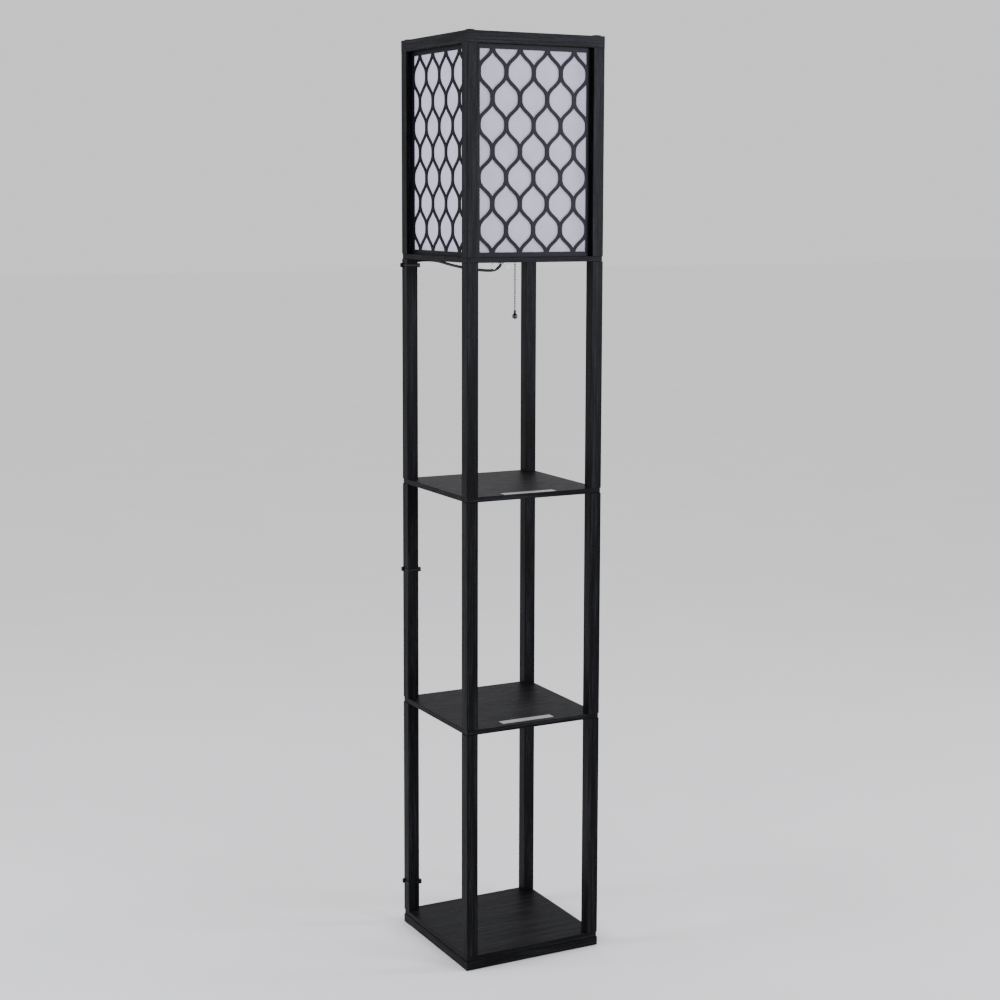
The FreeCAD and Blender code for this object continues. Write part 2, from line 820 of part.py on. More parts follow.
def cord_tube(name, route):
    """Round tube along straight runs joined by tangent arcs, each as large as its runs allow."""
    points = [Vector(*p) for p in route]
    edges = []
    radii = []
    cursor = points[0]
    for before, corner, after in zip(points, points[1:], points[2:]):
        a = (before - corner).normalize()
        b = (after - corner).normalize()
        half_turn = (math.pi - a.getAngle(b)) / 2
        reach = bend_share * min((before - corner).Length, (after - corner).Length)
        start = corner + a * reach
        end = corner + b * reach
        radius = reach / math.tan(half_turn)
        inward = (a + b).normalize()
        middle = corner + inward * (radius / math.cos(half_turn) - radius)
        edges.append(Part.LineSegment(cursor, start).toShape())
        edges.append(Part.Arc(start, middle, end).toShape())
        radii.append(radius)
        cursor = end
    edges.append(Part.LineSegment(cursor, points[-1]).toShape())
    path = Part.Wire(edges)
    ring = Part.Wire(Part.Circle(points[0], points[1] - points[0], cord_radius).toShape())
    tube = path.makePipeShell([ring], True, True)
    length = path.Length
    print(name, "length", round(length, 1), "volume ratio",
          round(tube.Volume / (math.pi * cord_radius ** 2 * length), 4))
    print(name, "bend radii", [round(r, 1) for r in radii])
    return tube


def peanut(offset):
    """Outline of the hank: two end loops and a pinched waist, as tangent arcs. offset is outwards."""
    waist_radius = (hank_reach ** 2 + hank_waist ** 2 - hank_loop ** 2) / (2 * (hank_loop - hank_waist))
    waist_centre = hank_waist + waist_radius
    to_waist = Vector(-hank_reach, waist_centre, 0).normalize()
    loop = hank_loop + offset
    pinch = waist_radius - offset
    meet = Vector(hank_reach, 0, 0) + to_waist * loop
    mirror = [Vector(meet.x * sx, meet.y * sy, 0) for sx, sy in ((1, 1), (-1, 1), (-1, -1), (1, -1))]
    arcs = [Part.Arc(mirror[3], Vector(hank_reach + loop, 0, 0), mirror[0]),
            Part.Arc(mirror[0], Vector(0, waist_centre - pinch, 0), mirror[1]),
            Part.Arc(mirror[1], Vector(-hank_reach - loop, 0, 0), mirror[2]),
            Part.Arc(mirror[2], Vector(0, pinch - waist_centre, 0), mirror[3])]
    return Part.Wire([arc.toShape() for arc in arcs])


def cord_hank():
    """Outer shape of the tied hank: its turns lie on each other, and its last pass lies on top."""
    outer = Part.Face(peanut(cord_radius))
    turns = outer.cut(Part.Face(peanut(-cord_radius))).extrude(Z_AXIS * (hank_top_z - hank_lift))
    turns.translate(hank_middle + Z_AXIS * hank_lift)
    front_half = box(-hank_reach, hank_reach, -2 * hank_loop, 0, 0, 2 * cord_radius)
    last_pass = outer.cut(Part.Face(peanut(-cord_radius))).extrude(Z_AXIS * 2 * cord_radius)
    last_pass = last_pass.common(front_half)
    last_pass.translate(hank_middle + Z_AXIS * hank_top_z)
    lead_in = box(hank_start_x, hank_middle.x - hank_reach, hank_low_y - cord_radius,
                  hank_low_y + cord_radius, hank_lift, hank_lift + 2 * cord_radius)
    return turns.fuse([last_pass, lead_in]).cut(hank_tie())


def hull(points):
    """Corners of the smallest convex outline round the points, anticlockwise."""
    def half_of(ordered):
        chain = []
        for p in ordered:
            while len(chain) > 1:
                (ax, ay), (bx, by) = chain[-2:]
                if (bx - ax) * (p[1] - ay) - (by - ay) * (p[0] - ax) > 0:
                    break
                chain.pop()
            chain.append(p)
        return chain[:-1]

    ordered = sorted(set(points))
    return half_of(ordered) + half_of(ordered[::-1])


def tight_loop(points):
    """Outline drawn tight round the points in the XY plane."""
    loop = [Vector(x, y, 0) for x, y in hull(points)]
    return Part.makePolygon(loop + loop[:1])


def taut_band(points, wall, width):
    """Band of even thickness drawn tight round the points in the XY plane."""
    inner = tight_loop(points)
    outer = inner.makeOffset2D(wall)
    return Part.Face(outer).cut(Part.Face(inner)).extrude(Z_AXIS * width)


def hank_tie():
    """Narrow band drawn round the strands at the hank's waist."""
    side = hank_waist + cord_radius
    low = hank_lift + hank_tie_wall
    last_pass = hank_top_z + 2 * cord_radius
    section = [(-side, low), (side, low), (side, hank_top_z), (-side + 2 * cord_radius, last_pass),
               (-side, last_pass)]
    band = taut_band(section, hank_tie_wall, hank_tie_width)
    band.rotate(Vector(0, 0, 0), X_AXIS, 90)
    band.rotate(Vector(0, 0, 0), Z_AXIS, 90)
    band.translate(hank_middle - X_AXIS * hank_tie_width / 2)
    return band


def plug():
    """Slim two-pin plug: oval body that narrows to a tapered strain relief."""
    def oval(x, width, height):
        ellipse = Part.Ellipse(Vector(x, plug_y, plug_z), width, height)
        ring = ellipse.toShape()
        centre = Vector(x, plug_y, plug_z)
        ring.rotate(centre, Y_AXIS, 90)
        ring.rotate(centre, X_AXIS, 90)
        return Part.Wire(ring)

    relief_end = plug_start_x + relief_length
    rings = [oval(relief_end, relief_root_radius, relief_root_radius)]
    for along, wide, high in plug_sections:
        rings.append(oval(relief_end + along * plug_length, wide * plug_half_width, high * plug_half_height))
    body = Part.makeLoft(rings, True, False)
    relief = Part.makeCone(relief_end_radius, relief_root_radius, relief_length,
                           Vector(plug_start_x, plug_y, plug_z), X_AXIS)
    return body.fuse(relief)


def plug_pins():
    pins = []
    face = plug_start_x + relief_length + plug_length
    for way in (-1, 1):
        foot = Vector(face, plug_y + way * pin_spacing / 2, plug_z)
        pin = Part.makeCylinder(pin_diameter / 2, pin_length, foot, X_AXIS)
        tip = [e for e in pin.Edges if e.BoundBox.XMin > face + pin_length - slip_gap]
        pins.append(pin.makeFillet(pin_diameter / 4, tip[:1]))
    return pins


# ---- cable ties on the rear left post -----------------------------------------------------------

tie_strap_width = 2.6
tie_wall = 1.1
tie_head_height = 7.4
tie_head_reach = 5.0
tie_head_length = 7.0
tie_head_start = 0.5
tie_end_reach = 4.0
tie_end_length = 5.0
tie_corner_round = 0.9
tie_cord_gap = 0.35
tie_bend_sides = 12

# Each tie is drawn round these places of the lead's centre. Its middle is at the level of the first.
tie_places = [[(-101.0, 134.1, 1209.5), (-108.5, 137.9, 1209.5), (-116.3, 140.2, 1209.5)],
              [(-115.8, 133.4, 663.0)],
              [(-120.1, 133.4, 79.5)]]


def cable_tie(places):
    """Slim strap round the post and the lead, with its locking head on the post's right face and its
    trimmed end turned up on the left face."""
    leads = [laid(*place) for place in places]
    level = leads[0][2]
    post = [(x, y) for x in (-half, -post_inner) for y in (post_inner, half)]
    reach = (cord_radius + tie_cord_gap) / math.cos(math.pi / tie_bend_sides)
    turns = [2 * math.pi * i / tie_bend_sides for i in range(tie_bend_sides)]
    ring = [(round(x + reach * math.cos(turn), 4), round(y + reach * math.sin(turn), 4))
            for x, y, z in leads for turn in turns]
    strap = taut_band(post + ring, tie_wall, tie_strap_width)
    strap.translate(Z_AXIS * (tie_head_height - tie_strap_width) / 2)
    held = Part.Face(tight_loop(post + ring)).extrude(Z_AXIS * tie_head_height)
    head_y = post_inner - tie_head_start
    head = rounded_upright(-post_inner - tie_wall, -post_inner + tie_head_reach, head_y,
                           head_y + tie_head_length, 0, tie_head_height, tie_corner_round)
    end = rounded_upright(-half - tie_end_reach, -half + tie_wall, half - tie_end_length, half,
                          0, tie_head_height, tie_corner_round)
    tie = strap.fuse([head.cut(held), end.cut(held)]).removeSplitter()
    tie.translate(Z_AXIS * (level - tie_head_height / 2))
    return tie


# ---- winged lead clip below the nut -------------------------------------------------------------

clip_ring_radius = 4.8
clip_ring_height = 2.0
wing_thickness = 1.2
# one wing, from its root at the ring outwards and back: (distance from the axis, depth below the nipple)
wing_outline = [(3.6, 0.0), (15.5, 0.6), (19.4, 6.6), (13.2, 12.8), (6.4, 6.6), (3.6, 2.0)]


def cord_clip():
    """Clear clip on the nipple's end, with two wings that droop to either side."""
    clip = disc(clip_ring_radius, nipple_low - clip_ring_height, nipple_low)
    for way in (-1, 1):
        points = [Vector(way * x, -wing_thickness / 2, nipple_low - drop) for x, drop in wing_outline]
        wing = Part.Face(Part.makePolygon(points + points[:1])).extrude(Y_AXIS * wing_thickness)
        clip = clip.fuse(wing)
    return clip.cut(disc(relief_sleeve_radius, nipple_low - clip_ring_height, nipple_low)).removeSplitter()


# ---- write every piece --------------------------------------------------------------------------

base = rail_pair(pad_thickness, base_rail_height, pad_thickness, pad_thickness + head_recess)
top = rail_pair(top_rail_z, top_rail_height, total_height - head_recess, total_height)
for side in ("front", "rear", "left", "right"):
    save("base_rail_" + side, base[side])
    save("top_rail_" + side, top[side])

save("rail_dowels", Part.makeCompound(frame_dowels(pad_thickness, base_rail_height)
                                      + frame_dowels(top_rail_z, top_rail_height)))
save("foot_pads", Part.makeCompound(foot_pads()))

shade_board = board(shade_board_z).cut(disc(nipple_radius + slip_gap, shade_board_z, shade_floor))
shade_board = shade_board.cut(disc(grommet_radius, shade_board_z, shade_floor, chain_x))
save("base_board", board(base_board_z))
save("shelf_lower", board(lower_shelf_z))
save("shelf_upper", board(upper_shelf_z))
save("shade_board", shade_board)

save("posts_lower", Part.makeCompound(post_set(lower_post_z, shelf_post_length)))
save("posts_middle", Part.makeCompound(post_set(lower_shelf_z + board_thickness, shelf_post_length)))
save("posts_upper", Part.makeCompound(post_set(upper_shelf_z + board_thickness, shelf_post_length)))
shade_posts = post_set(shade_floor, shade_post_length)
for quarter in range(4):
    shade_posts = [post.cut(turned(groove(), 90 * quarter)) for post in shade_posts]
save("posts_shade", Part.makeCompound(shade_posts))

save("column_studs", Part.makeCompound(column_studs()))
save("post_inserts", Part.makeCompound(post_inserts()))
save("frame_screws", Part.makeCompound(frame_screws()))
save("screw_caps", Part.makeCompound(screw_caps()))

panel = lattice_panel()
sheet = diffuser()
for side, angle in (("front", 0), ("right", 90), ("rear", 180), ("left", 270)):
    save("lattice_" + side, turned(panel, angle))
    save("diffuser_" + side, turned(sheet, angle))

save("label_strips", Part.makeCompound(label_strips()))

save("nipple", nipple())
save("nipple_nut", nipple_nut())
save("cord_sleeve", cord_sleeve())
save("holder_cap", holder_cap())
save("holder_insulator", holder_insulator())
save("holder_shell", holder_shell())
save("screw_sleeve", screw_sleeve())
save("centre_contact", centre_contact())
save("bell_mouth", bell_mouth())
save("chain_grommet", chain_grommet())
save("switch_frame", switch_frame())
save("switch_lever", switch_lever())
save("switch_rotor", switch_rotor())
save("switch_contacts", Part.makeCompound(switch_contacts()))
save("return_spring", return_spring())

save("chain_upper", chain_upper())
save("chain_swivel", chain_swivel())
save("chain_lower", chain_lower())
save("pull_ball", pull_ball())

save("bulb_cap", bulb_cap())
save("bulb_glass", bulb_glass())

save("cord", cord_tube("cord", cord_route))
save("cord_hank", cord_hank())
save("cord_tail", cord_tube("cord_tail", tail_route))
save("hank_tie", hank_tie())
save("plug", plug())
save("plug_pins", Part.makeCompound(plug_pins()))
save("cable_ties", Part.makeCompound([cable_tie(places) for places in tie_places]))
save("cord_clip", cord_clip())
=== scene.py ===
import math

import bpy
import numpy as np
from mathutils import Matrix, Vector


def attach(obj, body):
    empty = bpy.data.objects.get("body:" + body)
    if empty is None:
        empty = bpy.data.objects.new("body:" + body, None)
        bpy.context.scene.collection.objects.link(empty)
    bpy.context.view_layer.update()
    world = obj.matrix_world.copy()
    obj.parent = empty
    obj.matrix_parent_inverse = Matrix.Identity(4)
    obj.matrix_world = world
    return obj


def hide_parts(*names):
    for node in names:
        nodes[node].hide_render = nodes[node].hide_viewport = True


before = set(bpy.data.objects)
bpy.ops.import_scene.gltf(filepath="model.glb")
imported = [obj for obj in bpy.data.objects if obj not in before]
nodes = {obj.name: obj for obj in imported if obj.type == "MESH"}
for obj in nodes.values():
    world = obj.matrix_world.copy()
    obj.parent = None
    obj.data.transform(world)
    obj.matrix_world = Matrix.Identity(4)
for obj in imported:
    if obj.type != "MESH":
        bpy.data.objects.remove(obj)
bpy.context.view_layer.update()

scene = bpy.context.scene

# ---- the studio ----------------------------------------------------------------------------------
# A wide pale floor and a pale room, soft panels to the left, right and front, and a card that
# shows only in gloss. The camera stands three metres off the near corner, looking slightly down.


def linear(hex_colour):
    """sRGB hex to linear RGBA: the straight toe below 0.04045 and the 2.4 power above it."""
    parts = [int(hex_colour[i:i + 2], 16) / 255 for i in (1, 3, 5)]
    return [c / 12.92 if c <= 0.04045 else ((c + 0.055) / 1.055) ** 2.4 for c in parts] + [1.0]


def add(tree, kind, sockets=None, **properties):
    """Adds one node to a material: its properties, then its input sockets, each of which is given a
    plain value or the output socket of another node."""
    node = tree.nodes.new(kind)
    for name, value in properties.items():
        setattr(node, name, value)
    for name, value in (sockets or {}).items():
        if isinstance(value, bpy.types.NodeSocket):
            tree.links.new(value, node.inputs[name])
        else:
            node.inputs[name].default_value = value
    return node


def start_material(name):
    """An empty node material: returns it with its tree."""
    material = bpy.data.materials.new(name)
    material.use_nodes = True
    material.node_tree.nodes.clear()
    return material, material.node_tree


def finish_material(tree, sockets):
    """The surface shader with these sockets, joined to the material's output."""
    shader = add(tree, "ShaderNodeBsdfPrincipled", sockets)
    add(tree, "ShaderNodeOutputMaterial", {"Surface": shader.outputs["BSDF"]})


def spots(tree, size, detail=2.0, roughness=0.5):
    """Noise on the piece's own place. size is its spots' spacing in metres along X, Y and Z."""
    where = add(tree, "ShaderNodeTexCoord")
    scale = [1 / s for s in size]
    fitted = add(tree, "ShaderNodeMapping", {"Vector": where.outputs["Object"], "Scale": scale})
    noise = add(tree, "ShaderNodeTexNoise", {"Vector": fitted.outputs["Vector"], "Scale": 1.0,
                                             "Detail": detail, "Roughness": roughness})
    return noise.outputs["Fac"]


def shades(tree, amount, stops):
    """Colour ramp over an amount from 0 to 1. stops are (place, hex colour)."""
    ramp = add(tree, "ShaderNodeValToRGB", {"Fac": amount})
    points = ramp.color_ramp.elements
    while len(points) < len(stops):
        points.new(0.5)
    for point, (amount_there, colour) in zip(points, stops):
        point.position = amount_there
        point.color = linear(colour)
    return ramp.outputs["Color"]


def grid_mesh(name, points):
    """Mesh of a surface given as an array of points (rows, columns, 3): a four-sided face between
    each row and the next and each column and the next."""
    rows, columns = points.shape[:2]
    index = np.arange(rows * columns).reshape(rows, columns)
    quads = np.stack([index[:-1, :-1], index[:-1, 1:], index[1:, 1:], index[1:, :-1]], axis=-1)
    mesh = bpy.data.meshes.new(name)
    mesh.from_pydata(points.reshape(-1, 3).tolist(), [], quads.reshape(-1, 4).tolist())
    mesh.polygons.foreach_set("use_smooth", np.ones(len(mesh.polygons), bool))
    mesh.update()
    return mesh


def place(name, mesh, material):
    """Puts a mesh or a curve into the scene as one piece of one material."""
    piece = bpy.data.objects.new(name, mesh)
    mesh.materials.append(material)
    scene.collection.objects.link(piece)
    return piece


def soft_panel(name, stand_at, aim, width, height, power, colour):
    """Rectangular soft box that faces a point."""
    data = bpy.data.lights.new(name, "AREA")
    data.shape = "RECTANGLE"
    data.size = width
    data.size_y = height
    data.energy = power
    data.color = linear(colour)[:3]
    lamp = bpy.data.objects.new(name, data)
    lamp.location = stand_at
    lamp.rotation_euler = (Vector(aim) - Vector(stand_at)).to_track_quat("-Z", "Y").to_euler()
    lamp.visible_camera = False
    scene.collection.objects.link(lamp)
    return lamp


# Rolled emulsion paint: pale and matt, with a faint mottle.
floor_paint, tree = start_material("rolled_emulsion_paint")
mottle = spots(tree, (0.3, 0.3, 0.3), 3.0)
finish_material(tree, {"Base Color": shades(tree, mottle, [(0.3, "#f8f8f9"), (0.7, "#fbfbfc")]),
                       "Roughness": 0.9})
floor_half = 30.0
floor_steps = np.linspace(-floor_half, floor_half, 3)
floor_x, floor_y = np.meshgrid(floor_steps, floor_steps)
floor_mesh = grid_mesh("studio_floor", np.dstack([floor_x, floor_y, 0 * floor_x]))
floor = place("studio_floor", floor_mesh, floor_paint)

world = bpy.data.worlds.new("pale_room")
world.use_nodes = True
room = world.node_tree.nodes["Background"].inputs
room["Color"].default_value = linear("#fdfdff")
room["Strength"].default_value = 0.95
scene.world = world

soft_panel("right_panel", stand_at=(2.75, -1.25, 1.6), aim=(0.0, 0.0, 1.45), width=0.6,
           height=1.2, power=40, colour="#fbf8ff")
soft_panel("left_panel", stand_at=(-2.6, 0.5, 1.7), aim=(0.0, 0.0, 1.3), width=1.0,
           height=1.4, power=46, colour="#f6f7ff")
soft_panel("front_panel", stand_at=(0.8, -1.4, 1.75), aim=(0.0, 0.0, 1.5), width=0.5,
           height=0.5, power=11, colour="#f0f1ff")
# A card that only shows in gloss: it draws the sheen down the upper half of the front faces.
sheen_card = soft_panel("sheen_card", stand_at=(0.82, -1.45, 1.36), aim=(0.05, 0.0, 1.34),
                        width=0.7, height=0.6, power=28, colour="#eef0ff")
sheen_card.visible_diffuse = False

camera_data = bpy.data.cameras.new("photo_camera")
camera_data.sensor_width = 36.0
camera_data.lens = 68.34
camera_data.shift_x = -0.01385
camera_data.shift_y = -0.07087
camera = bpy.data.objects.new("photo_camera", camera_data)
camera.location = (-1.5295, -2.9476, 1.3244)
camera.rotation_euler = (math.radians(83.119), math.radians(-0.1926), math.radians(-27.8108))
scene.collection.objects.link(camera)
scene.camera = camera

# ---- base frame ----------------------------------------------------------------------------------
# Four rails of fibreboard wrapped in black wood-grain foil, butted and dowelled at the corners, on
# four self-adhesive felt pads.

def spread(tree, amount, low_in, high_in, low_out, high_out):
    """Straight-line change of range of an amount, held at its ends."""
    sockets = {"Value": amount, "From Min": low_in, "From Max": high_in,
               "To Min": low_out, "To Max": high_out}
    return add(tree, "ShaderNodeMapRange", sockets).outputs["Result"]


def raised(tree, height, depth, strength=1.0, under=None):
    """Bump whose full height is depth metres, on top of another bump where one is given."""
    sockets = {"Height": height, "Distance": depth, "Strength": strength}
    if under is not None:
        sockets["Normal"] = under
    return add(tree, "ShaderNodeBump", sockets).outputs["Normal"]


def dress(material, slot, *names):
    """Puts the material on CAD nodes, which keep their own shape."""
    for name in names:
        nodes[name].data.materials.clear()
        nodes[name].data.materials.append(material)


band_across = 0.014
band_along = 0.35
fibre_across = 0.0034
fibre_along = 0.12
thread_across = 0.0017
thread_along = 0.03
pore_across = 0.0014
pore_along = 0.012
pore_depth = 0.00012
fibre_depth = 0.0001


def grain_foil(name, along):
    """Foil whose printed grain runs along one axis (0, 1 or 2): broad bands, long fibres, fine
    threads and short embossed pores, each a noise that is stretched along that axis. They are drawn
    coarser than the real print, so that they show."""
    def stretched(across, length):
        """Spacing of a noise that is length long on the grain's axis and across wide."""
        size = [across, across, across]
        size[along] = length
        return size

    material, tree = start_material(name)
    bands = spots(tree, stretched(band_across, band_along), 2.0)
    fibres = spots(tree, stretched(fibre_across, fibre_along), 3.0, 0.6)
    threads = spots(tree, stretched(thread_across, thread_along), 2.0)
    pores = spots(tree, stretched(pore_across, pore_along), 1.0)
    coarse = add(tree, "ShaderNodeMath", {0: spread(tree, fibres, 0.33, 0.67, 0.0, 0.55),
                                          1: spread(tree, bands, 0.35, 0.65, 0.0, 0.2)},
                 operation="ADD")
    figure = add(tree, "ShaderNodeMath", {0: coarse.outputs["Value"],
                                          1: spread(tree, threads, 0.35, 0.65, 0.0, 0.25)},
                 operation="ADD")
    ink = shades(tree, figure.outputs["Value"],
                 [(0.2, "#070708"), (0.5, "#0f0f11"), (0.85, "#222327")])
    pits = spread(tree, pores, 0.56, 0.66, 0.0, 1.0)
    colour = add(tree, "ShaderNodeMix", {"Factor": spread(tree, pits, 0.0, 1.0, 0.0, 0.6),
                                         "A": ink, "B": linear("#050506")}, data_type="RGBA")
    emboss = raised(tree, spread(tree, fibres, 0.3, 0.7, 0.0, 1.0), fibre_depth, 0.5)
    finish_material(tree, {
        "Base Color": colour.outputs["Result"],
        "Roughness": spread(tree, threads, 0.3, 0.7, 0.4, 0.58),
        "IOR": 1.45,
        "Specular IOR Level": 0.07,
        "Normal": raised(tree, spread(tree, pits, 0.0, 1.0, 1.0, 0.0), pore_depth, 0.6, emboss)})
    return material


# Printed and embossed melamine foil, black ash: near black, satin, with fine straight grain.
foil_along_x = grain_foil("black_ash_foil_along_x", 0)
foil_along_y = grain_foil("black_ash_foil_along_y", 1)
foil_along_z = grain_foil("black_ash_foil_along_z", 2)
dress(foil_along_x, "black_board", "base_rail_front", "base_rail_rear")
dress(foil_along_y, "black_board", "base_rail_left", "base_rail_right")

# Turned beech pegs: pale, dry wood with long fibres.
beech, tree = start_material("turned_beech")
fibres = spots(tree, (0.0006, 0.008, 0.0006), 3.0)
finish_material(tree, {"Base Color": shades(tree, fibres, [(0.3, "#b98a5c"), (0.7, "#d8b083")]),
                       "Roughness": 0.75, "Normal": raised(tree, fibres, 0.0001, 0.5)})
dress(beech, "beech", "rail_dowels")

# Needle felt: dark, with no gloss and a fuzzy relief of matted fibres.
felt, tree = start_material("needle_felt")
fuzz = spots(tree, (0.0004, 0.0004, 0.0004), 4.0, 0.7)
finish_material(tree, {"Base Color": shades(tree, fuzz, [(0.3, "#161617"), (0.7, "#303032")]),
                       "Roughness": 0.95, "Sheen Weight": 0.3,
                       "Normal": raised(tree, fuzz, 0.0003, 0.8)})
dress(felt, "felt", "foot_pads")

# ---- boards --------------------------------------------------------------------------------------
# Base board, two open shelves and the board that carries the shade: 9 mm fibreboard in the same
# foil, its rim softened, clamped between the posts by the studs that run through it.

dress(foil_along_x, "black_board", "base_board", "shelf_lower", "shelf_upper", "shade_board")

# ---- posts and top frame -------------------------------------------------------------------------
# Square posts in four tiers, each wrapped in foil with its grain upright, and the rails of the top
# frame, which rest on the shade posts.

dress(foil_along_z, "black_board", "posts_lower", "posts_middle", "posts_upper", "posts_shade")
dress(foil_along_x, "black_board", "top_rail_front", "top_rail_rear")
dress(foil_along_y, "black_board", "top_rail_left", "top_rail_right")

# ---- studs, sleeves and frame screws -------------------------------------------------------------
# Threaded steel rods and press-in sleeves join the tiers, and countersunk screws hold the two
# frames. Small domed covers hide the screw heads in the top frame.


def plated_metal(name, colours, roughness, spacing, slot, *names):
    """Bare or plated metal: a fine even grain that changes its tone and gloss a little."""
    material, tree = start_material(name)
    grain = spots(tree, spacing, 3.0)
    darker, paler = colours
    finish_material(tree, {"Base Color": shades(tree, grain, [(0.3, darker), (0.7, paler)]),
                           "Metallic": 1.0,
                           "Roughness": spread(tree, grain, 0.3, 0.7, *roughness),
                           "Normal": raised(tree, grain, 0.00003, 0.4)})
    dress(material, slot, *names)


# Zinc plated steel: cool grey and half dull, with the faint frost of a blue passivation.
plated_metal("zinc_plated_steel", ("#a9adb3", "#c3c7cc"), (0.3, 0.45), (0.0015, 0.0015, 0.0015),
             "zinc_steel", "column_studs", "frame_screws", "nipple", "nipple_nut")

# Moulded polyethylene covers: matt black with a fine spark-eroded texture.
moulded_black, tree = start_material("moulded_black_polyethylene")
texture = spots(tree, (0.0005, 0.0005, 0.0005), 2.0)
finish_material(tree, {"Base Color": shades(tree, texture, [(0.3, "#131315"), (0.7, "#1c1c1f")]),
                       "Roughness": 0.55, "Normal": raised(tree, texture, 0.00006, 0.5)})
dress(moulded_black, "black_cap", "screw_caps")

# ---- lattice panels ------------------------------------------------------------------------------
# Four thin boards with a cut-out ogee lattice, sprayed black, standing in grooves of the posts.

# Sprayed satin lacquer on fibreboard: blue-black and low in gloss, with a slight orange peel.
lacquer, tree = start_material("sprayed_satin_lacquer")
peel = spots(tree, (0.0016, 0.0016, 0.0016), 2.0)
drift = spots(tree, (0.05, 0.05, 0.05), 2.0)
finish_material(tree, {"Base Color": shades(tree, drift, [(0.3, "#0b0c12"), (0.7, "#0f1017")]),
                       "Roughness": spread(tree, peel, 0.3, 0.7, 0.42, 0.52),
                       "Specular IOR Level": 0.08,
                       "Normal": raised(tree, peel, 0.00005, 0.5)})
dress(lacquer, "lattice", "lattice_front", "lattice_rear", "lattice_left", "lattice_right")

# ---- shade sheets --------------------------------------------------------------------------------
# A stiff sheet of thin white cloth, coated on the back, stands flat behind each lattice, between
# the posts.

# Coated plain-weave cloth: milky, faintly lavender and matt. Its threads are 0.3 mm apart and are
# drawn 1.2 mm apart, so that they show. A wave texture of scale 1 repeats every pi / 10 metres.
thread_spacing = 0.0012
wave_scale = math.pi / 10 / thread_spacing
shade_cloth, tree = start_material("coated_plain_weave_cloth")
where = add(tree, "ShaderNodeTexCoord")
threads = []
for direction in ("X", "Y", "Z"):
    threads.append(add(tree, "ShaderNodeTexWave", {"Vector": where.outputs["Object"],
                                                   "Scale": wave_scale, "Distortion": 0.4,
                                                   "Detail": 1.0},
                       bands_direction=direction).outputs["Fac"])
across = add(tree, "ShaderNodeMath", {0: threads[0], 1: threads[1]}, operation="MULTIPLY")
weave = add(tree, "ShaderNodeMath", {0: across.outputs["Value"], 1: threads[2]},
            operation="MULTIPLY")
cloud = spots(tree, (0.03, 0.03, 0.03), 3.0)
cloth_colour = shades(tree, cloud, [(0.3, "#bcb8ce"), (0.7, "#c6c2d7")])
finish_material(tree, {"Base Color": cloth_colour, "Roughness": 0.8, "Sheen Weight": 0.15,
                       "Subsurface Weight": 0.15, "Subsurface Radius": [0.003, 0.003, 0.003],
                       "Normal": raised(tree, weave.outputs["Value"], 0.00008, 0.35)})
dress(shade_cloth, "shade_sheet", "diffuser_front", "diffuser_rear", "diffuser_left",
      "diffuser_right")

# ---- strips on the shelves -----------------------------------------------------------------------
# A thin blank strip of silver film, stuck down near the front edge of each open shelf.

# Brushed plastic film: silver-grey and half glossy, brushed along the strip.
brushed_film, tree = start_material("brushed_silver_film")
brushing = spots(tree, (0.02, 0.0004, 0.02), 3.0)
finish_material(tree, {"Base Color": shades(tree, brushing, [(0.3, "#9c9899"), (0.7, "#afabac")]),
                       "Metallic": 0.35, "Roughness": spread(tree, brushing, 0.3, 0.7, 0.35, 0.5),
                       "Normal": raised(tree, brushing, 0.00003, 0.4)})
dress(brushed_film, "label_silver", "label_strips")

# ---- lampholder ----------------------------------------------------------------------------------
# A threaded brass nipple through the shade board carries the holder: a moulded cup with a side
# spout, a ceramic disc, a moulded barrel with the screw sleeve in it, and a sprung centre contact.

# Rolled brass: warm yellow, drawn and a little tarnished.
plated_metal("rolled_brass", ("#b08d4a", "#cfae6c"), (0.22, 0.38), (0.003, 0.003, 0.003),
             "brass", "post_inserts", "screw_sleeve", "centre_contact", "switch_frame",
             "switch_lever", "switch_contacts")

# Phenolic moulding: deep black and glossy, with faint flow marks.
phenolic, tree = start_material("phenolic_moulding")
flow = spots(tree, (0.004, 0.004, 0.012), 3.0)
finish_material(tree, {"Base Color": shades(tree, flow, [(0.3, "#0d0d0e"), (0.7, "#151516")]),
                       "Roughness": spread(tree, flow, 0.3, 0.7, 0.2, 0.3), "IOR": 1.6,
                       "Normal": raised(tree, flow, 0.00004, 0.3)})
dress(phenolic, "holder_black", "holder_cap", "holder_shell", "switch_rotor")

# Glazed porcelain: warm white and glossy, with the pinholes and specks of a fired glaze.
porcelain, tree = start_material("glazed_porcelain")
specks = spots(tree, (0.0012, 0.0012, 0.0012), 2.0)
finish_material(tree, {"Base Color": shades(tree, specks, [(0.25, "#cfc9bd"), (0.4, "#ece8df")]),
                       "Roughness": 0.16, "Coat Weight": 0.5, "Coat Roughness": 0.05,
                       "Normal": raised(tree, specks, 0.00004, 0.3)})
dress(porcelain, "ceramic", "holder_insulator")

# ---- chain switch --------------------------------------------------------------------------------
# Ball chain from the lever in the holder down through the board's bush, ending in a polished ball.

dress(moulded_black, "grommet", "chain_grommet")

# Drawn spring wire: grey, with fine die lines round the wire.
plated_metal("drawn_spring_wire", ("#85878b", "#a5a7ab"), (0.3, 0.42), (0.0003, 0.002, 0.0003),
             "spring_steel", "return_spring")

# Black nickel plate on the beads: dark and glossy, with a pale edge where it turns away.
plated_metal("black_nickel_plate", ("#565557", "#6b6a6b"), (0.16, 0.3), (0.0012, 0.0012, 0.0012),
             "chain_nickel", "chain_upper", "chain_swivel", "chain_lower", "bell_mouth")

